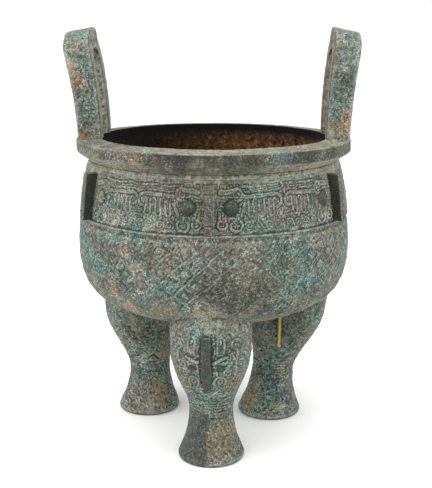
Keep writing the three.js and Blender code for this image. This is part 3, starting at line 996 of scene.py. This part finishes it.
# %% Colours that follow a part of the vessel
def rim_coats(points, normals):
    """The rim's dark band and its pale top, painted shade in the fold under it, and the pale neck."""
    x, height, radius = points[:, 0], points[:, 2], radius_of(points)
    front = np.exp(-((x + 5) / 55) ** 2) * (points[:, 1] < 0)
    band = (facing_out(points, normals) > 0.6) * (height > BAND_FOOT - 1) * (radius > RIM_RADIUS - 2)
    pale = (normals[:, 2] > 0.5) * (height > RIM_TOP - 2) * np.clip((x + 75) / 25, 0.35, 1)
    under = (height < BAND_FOOT + 0.2) & (radius > 100)
    # painted shade in the fold under the rim's band, strongest at the front
    shade_under_rim = under * np.clip((height - NECK_TOP + 0.2) / 1.5, 0, 1) * front
    neck = under * (height > 236) * (1 - shade_under_rim)
    spots = np.maximum(patch(points, PATCHES["teal"], 80), patch(points, PATCHES["copper"], 85))
    ragged = np.clip(0.95 + 0.5 * lumps(points, 11, 90), 0.6, 1) * (1 - 0.6 * spots)
    dark = ragged * band * np.clip((x + 90) / 50, 0.25, 1) * (0.75 + 0.25 * front)
    shade_under_rim = shade_under_rim * ragged
    return {"brown": np.maximum(dark, shade_under_rim),
            "cream": np.maximum(pale * (0.5 + 0.25 * front), 0.85 * neck),
            "bare": 0.25 * dark,
            "black": np.maximum(0.72 * dark, 0.5 * shade_under_rim)}


def plain_band_coat(points):
    """The plain tan band round the bottom of the belly."""
    return {"tan": 0.7 * np.clip((128 - points[:, 2]) / 4, 0, 1)}


def inner_faces(piece, side):
    """1 on a handle's faces inside its slot and on the one towards the bowl's middle."""
    points, normals = points_of(piece), normals_of(piece)
    in_slot = (np.abs(normals[:, 1]) > 0.7) & (np.abs(points[:, 1]) < SLOT_WIDTH / 2 + 1.5)
    return in_slot | (-side * normals[:, 0] > 0.8)


print("the rim, the belly's foot and the handles' inner faces have their own colours")

# %% Lay the colours on
rim = rim_coats(points_of(bowl), normals_of(bowl))
coats = {bowl: rim, belly: plain_band_coat(points_of(belly))}
# painted light: the front flange's right side is painted cream, as if lit
painted_lit_side = np.clip(2 * normals_of(flanges[0])[:, 0] - 0.6, 0, 1)  # of the front flange
coats[flanges[0]] = {"mauve": 0.9 * (1 - painted_lit_side), "cream": painted_lit_side}
for piece in legs:
    # painted shade: a dark band along the bottom edge of each foot
    coats[piece] = {"brown": 0.9 * (points_of(piece)[:, 2] < 2.2)}
for piece, (_, side, *_), colour in zip(handles, HANDLES, ("cream", "copper")):
    coats[piece] = {colour: 0.75 * inner_faces(piece, side)}
for piece in PIECES:
    points = points_of(piece)
    for number, (colour, spots) in enumerate(PATCHES.items()):
        cover = np.maximum(patch(points, spots, 80 + 5 * number), drift(points, colour, number))
        store(piece, colour, np.maximum(cover, coats.get(piece, {}).get(colour, 0)))
print(len(coats), "pieces have a colour of their own somewhere")

# %% [markdown]
# ## Where the metal shows
#
# Some places are dark and smooth, as if handled: the round eyes, the edges of the flanges, the
# noses on the legs and one side of the front leg's foot. The flanges' sides and the eyes' hollows
# are made near black. Painted shade darkens the lower half of each round eye, the front flange's
# left side, each handle's rounded edge between its front and inner faces, and the fold under the
# rim. Inside, the bowl is painted nearly black below the rim as shade, and rusty lower down.


# %% Helpers for the dark metal
def handled_foot(points):
    """1 on the smooth side of the front leg's foot."""
    left = np.clip((-1.5 - points[:, 0]) / 2.5, 0, 1) * np.clip((50 - points[:, 2]) / 12, 0, 1)
    return 0.95 * left * (points[:, 1] < -45)


def flange_sides(piece, turn):
    """1 where the skin faces along the bowl, 0 on the flange's edge and the front one's right side."""
    normals = normals_of(piece)
    angle = math.radians(turn)
    sideways = normals[:, 0] * math.cos(angle) + normals[:, 1] * math.sin(angle)
    return np.abs(sideways) if turn else np.clip(-sideways, 0, 1)


print(int((flange_sides(flanges[1], FLANGE_TURNS[1]) > 0.9).sum()), "points lie on a flange's two sides")

# %% Smooth dark metal, near-black marks and painted shade
bare = {frieze: eyes, bowl: rim["bare"]}
bare.update({piece: np.maximum(nose, handled_foot(points_of(piece))) for piece, nose in zip(legs, noses)})
black = {piece: np.maximum.reduce([0.8 * socket, 0.4 * nose, cuts[piece.name]])
         for piece, nose, socket in zip(legs, noses, sockets)}
# painted shade: each eye's lower half is darkened, as if shaded from above
black[frieze] = 0.75 * eyes * np.clip((EYE[1] + 1 - shaky_h) / EYE_RADIUS, 0, 1)  # an eye's lower half
black[bowl] = rim["black"]
for piece, (_, side, *_) in zip(handles, HANDLES):
    # painted shade: the rounded edge between each handle's front and inner faces is darkened
    inwards, forwards = -side * normals_of(piece)[:, 0], -normals_of(piece)[:, 1]
    black[piece] = 0.8 * (inwards > 0.25) * (forwards > 0.25)
sides = {piece: np.clip(2 * flange_sides(piece, turn) - 0.9, 0, 1)
         for piece, turn in zip(flanges, FLANGE_TURNS)}
# painted shade: the front flange's left side is darkened
sides[flanges[0]] = np.maximum(sides[flanges[0]], 0.35 * (1 - painted_lit_side))
bare.update({piece: 0.8 - side for piece, side in sides.items()})
bare[flanges[0]] = bare[flanges[0]] - painted_lit_side
for piece in PIECES:
    none = np.zeros(len(piece.data.vertices))
    store(piece, "bare", bare.get(piece, none))
    store(piece, "black", sides.get(piece, black.get(piece, none)))
    store(piece, "yellow", runs.get(piece.name, none))
print("smooth dark metal on", len(bare), "pieces")

# %% Painted shade and rust inside the bowl
# painted shade: the hollow is near black, as shade under the rim; below this height rust mixes in, more
# towards +X
DARK_BELOW_RIM = 252  # down to this height the hollow is black, and below it rusty
FLOOR_LOW, FLOOR_HIGH = 109, 160  # between which the hollow's floor rises to its wall

points, normals = points_of(bowl), normals_of(bowl)
height, radius = points[:, 2], radius_of(points)
on_wall = (facing_out(points, normals) < -0.35) & (height < MOUTH_TOP - 1) & (radius > 80)
on_floor = (normals[:, 2] > 0.3) & (radius < 112) & (height > FLOOR_LOW) & (height < FLOOR_HIGH)
hollow = on_wall | on_floor
rust = np.clip((DARK_BELOW_RIM - height) / 9, 0, 1) * np.clip(0.65 + points[:, 0] / 110, 0.12, 1)
for piece in PIECES:
    none = np.zeros(len(piece.data.vertices))
    store(piece, "hollow", hollow if piece is bowl else none)
    store(piece, "rust", rust * hollow if piece is bowl else none)
print(int(hollow.sum()), "points of the bowl lie in its hollow")

# %% [markdown]
# ## The bronze's finish
#
# One material serves the whole casting. A shader group mixes the patina in layers, as it grew: a
# mottled grey-green, the patch colours, copper, dark and light specks a millimetre or two across,
# thin threads of crust, grooves darkened partly by dirt and partly as painted shade, and rubbed
# ridges. Near-black marks, some of them painted shade, and the inside of the bowl, painted near
# black as shade with rust below, go on top. Noise on the object's own coordinates keeps every speck
# in its place on the metal. The group gives a colour, a roughness and a height for the bump. The
# shader itself stays in the material, with its constants on its own sockets.


# %% Screen colours in linear light
def linear(red, green, blue):
    """A colour given as 0 to 255 on a screen, as the linear colour that nodes use."""
    def channel(value):
        value /= 255
        return value / 12.92 if value <= 0.04045 else ((value + 0.055) / 1.055) ** 2.4

    return (channel(red), channel(green), channel(blue), 1)


print("screen grey 118 is", round(linear(118, 118, 118)[0], 3), "in linear light")


# %% A helper that wires nodes
class Wiring:
    """Adds nodes to a tree and joins them."""

    def __init__(self, tree):
        self.nodes, self.links = tree.nodes, tree.links

    def add(self, kind, inputs=(), **settings):
        """A node of this kind. Each input is a value, or another node's output to join to it."""
        node = self.nodes.new(kind)
        for name, value in settings.items():
            setattr(node, name, value)
        for socket, value in dict(inputs).items():
            if isinstance(value, bpy.types.NodeSocket):
                self.links.new(value, node.inputs[socket])
            else:
                node.inputs[socket].default_value = value
        return node

    def noise(self, where, size, seed, detail=2.5):
        """Cloudy values from 0 to 1, in clouds of about this size in mm."""
        inputs = {"Vector": where, "W": seed, "Scale": 1 / (size * MM), "Detail": detail, "Roughness": 0.6}
        return self.add("ShaderNodeTexNoise", inputs, noise_dimensions="4D").outputs[0]

    def ramp(self, value, low, high):
        """0 under the low value, 1 over the high one, and a soft rise between."""
        node = self.add("ShaderNodeMapRange", {"Value": value, "From Min": low, "From Max": high},
                        interpolation_type="SMOOTHSTEP")
        return node.outputs[0]

    def math(self, kind, first, second):
        return self.add("ShaderNodeMath", {0: first, 1: second}, operation=kind).outputs[0]

    def times(self, first, second):
        return self.math("MULTIPLY", first, second)

    def mix(self, share, first, second):
        """The first colour, covered by the second as far as the share from 0 to 1 says."""
        node = self.add("ShaderNodeMix", {"Factor": share, "A": first, "B": second}, data_type="RGBA")
        return node.outputs["Result"]

    def attribute(self, name):
        return self.add("ShaderNodeAttribute", attribute_name=name).outputs["Fac"]


print("noise of 2 mm clouds has a scale of", 1 / (2 * MM))

# %% The patina's colours
GREEN_GREY, WARM_GREY = linear(54, 94, 84), linear(96, 84, 78)
SHADE_DARK, SHADE_LIGHT = linear(36, 47, 43), linear(110, 128, 118)
CRUST_LIGHT, CRUST_DARK = linear(180, 192, 180), linear(20, 25, 21)
SPECK_COPPER = linear(140, 98, 78)
# the grooves' dark colour stands partly for dirt and partly for painted shade
DIRT_AND_SHADE, RUBBED = linear(24, 29, 25), linear(150, 160, 148)
PATCH_COLOURS = {
    "teal": (linear(28, 64, 62), linear(70, 114, 108)),
    "copper": (linear(116, 80, 54), linear(174, 130, 96)),
    "mauve": (linear(80, 64, 70), linear(126, 104, 108)),
    "brown": (linear(38, 37, 32), linear(72, 68, 58)),
    "cream": (linear(120, 116, 96), linear(178, 172, 148)),
    "tan": (linear(80, 74, 52), linear(132, 120, 90)),
}
BARE, BLACKENED = linear(42, 47, 42), linear(22, 27, 22)
# the hollow's near black is painted shade, and its rust tones are colour
HOLLOW_SHADE, HOLLOW_RUST, HOLLOW_BRIGHT = linear(8, 9, 8), linear(126, 90, 58), linear(200, 138, 84)
YELLOW = linear(170, 160, 60)
STRENGTHS = ["Ridge", "Groove", "Bare", "Black", "Yellow", "Hollow", "Rust"]
STRENGTHS += [name.title() for name in PATCHES]
SPECKS = [
    # size in mm, seed, noise at which a speck begins and is full, strength, colour
    (2.6, 21, 0.56, 0.7, 0.4, SPECK_COPPER),
    (1.9, 22, 0.5, 0.62, 0.7, CRUST_DARK),
    (1.5, 23, 0.57, 0.67, 0.7, CRUST_LIGHT),
]
THREADS = [
    # size in mm, seed, half width as a span of noise, strength, colour
    (4.2, 25, 0.035, 0.7, CRUST_DARK),
    (3.6, 26, 0.03, 0.75, CRUST_LIGHT),
]
ROUGH_HIGH, ROUGH_LOW, BARE_GLOSS = 0.9, 0.62, 0.25  # bare metal is less rough by its gloss
print(len(PATCH_COLOURS), "patch colours,", len(SPECKS), "sizes of speck and", len(THREADS), "of thread")


# %% The layers of the patina
def mottled(w, place):
    """The ground colour: two greys in broad clouds, darkened and lightened in smaller ones."""
    ground = w.mix(w.ramp(w.noise(place, 15, 2), 0.4, 0.6), GREEN_GREY, WARM_GREY)
    clouds = w.ramp(w.noise(place, 3.6, 3), 0.3, 0.7)
    color = w.mix(0.5, ground, w.mix(clouds, SHADE_DARK, SHADE_LIGHT))
    broad = w.ramp(w.noise(place, 24, 6, detail=1), 0.38, 0.62)
    return w.mix(w.times(broad, 0.4), color, SHADE_DARK)


def patched(w, place, given, color):
    """The patch colours, each in a dark and a light tone and with ragged edges."""
    for seed, (name, (dark, light)) in enumerate(PATCH_COLOURS.items(), 4):
        tone = w.mix(w.ramp(w.noise(place, 3, seed), 0.35, 0.65), dark, light)
        ragged = w.times(given[name.title()], w.ramp(w.noise(place, 4.2, seed + 20), 0.22, 0.55))
        color = w.mix(ragged, color, tone)
    return color


def crusted(w, place, color, smooth):
    """Specks and thin worm-like threads of crust, fewer on smooth metal."""
    rough = w.math("SUBTRACT", 1, w.times(smooth, 0.75))
    for size, seed, low, high, share, tone in SPECKS:
        speck = w.times(w.ramp(w.noise(place, size, seed), low, high), share)
        color = w.mix(w.times(speck, rough), color, tone)
    for size, seed, width, share, tone in THREADS:
        off_line = w.math("ABSOLUTE", w.math("SUBTRACT", w.noise(place, size, seed), 0.5), 0)
        thread = w.times(w.ramp(off_line, width, 0), w.ramp(w.noise(place, 6, seed + 2), 0.4, 0.6))
        color = w.mix(w.times(w.times(thread, share), rough), color, tone)
    return color


def dirt_shade_and_wear(w, place, given, color, smooth):
    """Dirt and painted shade in the grooves, and ridges rubbed pale, less so on smooth metal."""
    # painted shade: the grooves are darkened, partly as dirt and partly as shade
    color = w.mix(w.times(given["Groove"], 0.9), color, DIRT_AND_SHADE)
    rub = w.times(given["Ridge"], w.ramp(w.noise(place, 2.6, 31), 0.3, 0.66))
    return w.mix(w.times(rub, w.math("SUBTRACT", 0.6, w.times(smooth, 0.55))), color, RUBBED)


def hollowed(w, place, given, color):
    """The inside of the bowl, painted near black as shade, and its rust."""
    rusty = w.times(given["Rust"], w.ramp(w.noise(place, 4, 32), 0.26, 0.62))
    rust_tone = w.mix(w.ramp(w.noise(place, 3, 34), 0.5, 0.7), HOLLOW_RUST, HOLLOW_BRIGHT)
    return w.mix(given["Hollow"], color, w.mix(rusty, HOLLOW_SHADE, rust_tone))


print("the layers are mottling, patches, crust, wear and the hollow's rust")


# %% The patina, as a shader group
def patina_group():
    """Ridge, groove, patch and metal strengths in; colour, roughness and bump height out."""
    tree = bpy.data.node_groups.new("patina", "ShaderNodeTree")
    for name in STRENGTHS:
        tree.interface.new_socket(name, in_out="INPUT", socket_type="NodeSocketFloat")
    for name, kind in (("Color", "Color"), ("Roughness", "Float"), ("Height", "Float")):
        tree.interface.new_socket(name, in_out="OUTPUT", socket_type=f"NodeSocket{kind}")
    w = Wiring(tree)
    given = w.add("NodeGroupInput").outputs
    place = w.add("ShaderNodeTexCoord").outputs["Object"]
    color = patched(w, place, given, mottled(w, place))
    color = w.mix(w.times(given["Bare"], 0.85), color, BARE)
    smooth_crust = w.math("MAXIMUM", given["Brown"], w.times(given["Tan"], 0.9))
    smooth = w.math("MAXIMUM", given["Bare"], w.times(smooth_crust, 0.6))
    color = crusted(w, place, color, smooth)
    color = dirt_shade_and_wear(w, place, given, color, smooth)
    color = w.mix(w.times(given["Black"], 0.9), color, BLACKENED)
    color = w.mix(w.times(given["Yellow"], 0.95), color, YELLOW)
    color = hollowed(w, place, given, color)
    grain = w.noise(place, 1.5, 1)
    dull = w.add("ShaderNodeMapRange", {"Value": grain, "To Min": ROUGH_HIGH, "To Max": ROUGH_LOW})
    dull = w.math("MAXIMUM", dull.outputs[0], given["Hollow"])
    roughness = w.math("SUBTRACT", dull, w.times(given["Bare"], BARE_GLOSS))
    height = w.math("ADD", grain, w.times(w.noise(place, 0.8, 33), 0.5))
    w.add("NodeGroupOutput", {"Color": color, "Roughness": roughness, "Height": height})
    return tree


patina = patina_group()
print("the patina group has", len(patina.nodes), "nodes and", len(STRENGTHS), "inputs")

# %% The bronze material
BUMP_STRENGTH, BUMP_HEIGHT = 0.7, 0.4 * MM
METALLIC, SPECULAR = 0.08, 0.28  # the crust hides nearly all the metal


def bronze():
    """The patina on a shader, with each strength read from the piece's attribute of that name."""
    material = bpy.data.materials.new("bronze_patina")
    material.use_nodes = True
    w = Wiring(material.node_tree)
    shader = w.nodes["Principled BSDF"]
    layers = w.add("ShaderNodeGroup", node_tree=patina)
    for name in STRENGTHS:
        w.links.new(w.attribute(name.lower()), layers.inputs[name])
    bump = w.add("ShaderNodeBump", {"Height": layers.outputs["Height"], "Strength": BUMP_STRENGTH,
                                    "Distance": BUMP_HEIGHT})
    w.links.new(layers.outputs["Color"], shader.inputs["Base Color"])
    w.links.new(layers.outputs["Roughness"], shader.inputs["Roughness"])
    w.links.new(bump.outputs[0], shader.inputs["Normal"])
    shader.inputs["Metallic"].default_value = METALLIC
    shader.inputs["Specular IOR Level"].default_value = SPECULAR
    return material


finish = bronze()
for piece in PIECES:
    piece.data.materials.append(finish)
print("the bronze's finish has", len(finish.node_tree.nodes), "nodes and one group")

# %% [markdown]
# ## Floor, light and camera
#
# A wide pale floor under a white sky gives the even, soft light of a tent. Two large panels at the
# sides lighten the bowl's edges, and one above and in front models the relief.

# %% The floor
FLOOR_RADIUS = 9  # metres, so that its edge is never seen
PAPER_WHITE = (0.94, 0.94, 0.94, 1)

floor_mesh = bmesh.new()
bmesh.ops.create_circle(floor_mesh, cap_ends=True, segments=96, radius=FLOOR_RADIUS)
floor_data = bpy.data.meshes.new("floor")
floor_mesh.to_mesh(floor_data)
floor_mesh.free()
floor = bpy.data.objects.new("floor", floor_data)
bpy.context.scene.collection.objects.link(floor)
paper = bpy.data.materials.new("white_paper")
paper.use_nodes = True
paper.node_tree.nodes["Principled BSDF"].inputs["Base Color"].default_value = PAPER_WHITE
paper.node_tree.nodes["Principled BSDF"].inputs["Roughness"].default_value = 0.9
floor_data.materials.append(paper)
print("the floor is", 2 * FLOOR_RADIUS, "m wide")

# %% The sky
SKY_STRENGTH = 1.1

sky = bpy.data.worlds.new("sky")
bpy.context.scene.world = sky
sky.use_nodes = True
sky.node_tree.nodes["Background"].inputs["Color"].default_value = (1, 1, 1, 1)
sky.node_tree.nodes["Background"].inputs["Strength"].default_value = SKY_STRENGTH
bpy.context.scene.view_settings.view_transform = "Standard"
print("the sky's strength is", SKY_STRENGTH)

# %% The light panels
VESSEL_MIDDLE = (0, 0, 0.2)


def panel(name, place, size, power):
    """A square light that faces the vessel's middle."""
    data = bpy.data.lights.new(name, "AREA")
    data.size, data.energy = size, power
    light = bpy.data.objects.new(name, data)
    light.location = place
    light.rotation_euler = (Vector(VESSEL_MIDDLE) - Vector(place)).to_track_quat("-Z", "Y").to_euler()
    bpy.context.scene.collection.objects.link(light)


PANELS = [
    # name, place in metres, width in metres, power in watts
    ("panel_above", (-0.2, -0.8, 2), 2, 20),
    ("panel_left", (-1.7, -0.5, 0.7), 1.2, 9),
    ("panel_right", (1.7, -0.3, 0.7), 1.2, 7),
]
for facts in PANELS:
    panel(*facts)
print(len(PANELS), "light panels")

# %% A wide soft light from above, which also whitens the floor
OVERHEAD_STRENGTH, OVERHEAD_WIDTH = 0.6, math.radians(70)

overhead_data = bpy.data.lights.new("overhead", "SUN")
overhead_data.energy, overhead_data.angle = OVERHEAD_STRENGTH, OVERHEAD_WIDTH
overhead = bpy.data.objects.new("overhead", overhead_data)
overhead.rotation_euler = (math.radians(25), math.radians(-12), 0)
bpy.context.scene.collection.objects.link(overhead)
print("the overhead light's strength is", OVERHEAD_STRENGTH)

# %% The camera
CAMERA_AWAY, CAMERA_HIGH = 0.7842, 0.3518
CAMERA_TURN = 1.7  # degrees to the right of the front
CAMERA_DOWN = 13.63  # degrees
LENS, SENSOR = 68.03, 36
LENS_SHIFT = (0.0047, 0.0102)

lens_data = bpy.data.cameras.new("camera")
lens_data.lens, lens_data.sensor_width = LENS, SENSOR
lens_data.shift_x, lens_data.shift_y = LENS_SHIFT
camera = bpy.data.objects.new("camera", lens_data)
swing = math.radians(CAMERA_TURN)
camera.location = (CAMERA_AWAY * math.sin(swing), -CAMERA_AWAY * math.cos(swing), CAMERA_HIGH)
camera.rotation_euler = (math.radians(90 - CAMERA_DOWN), 0, swing)
bpy.context.scene.collection.objects.link(camera)
bpy.context.scene.camera = camera
print("the camera is", round(camera.location.length, 2), "m from the middle of the ground")
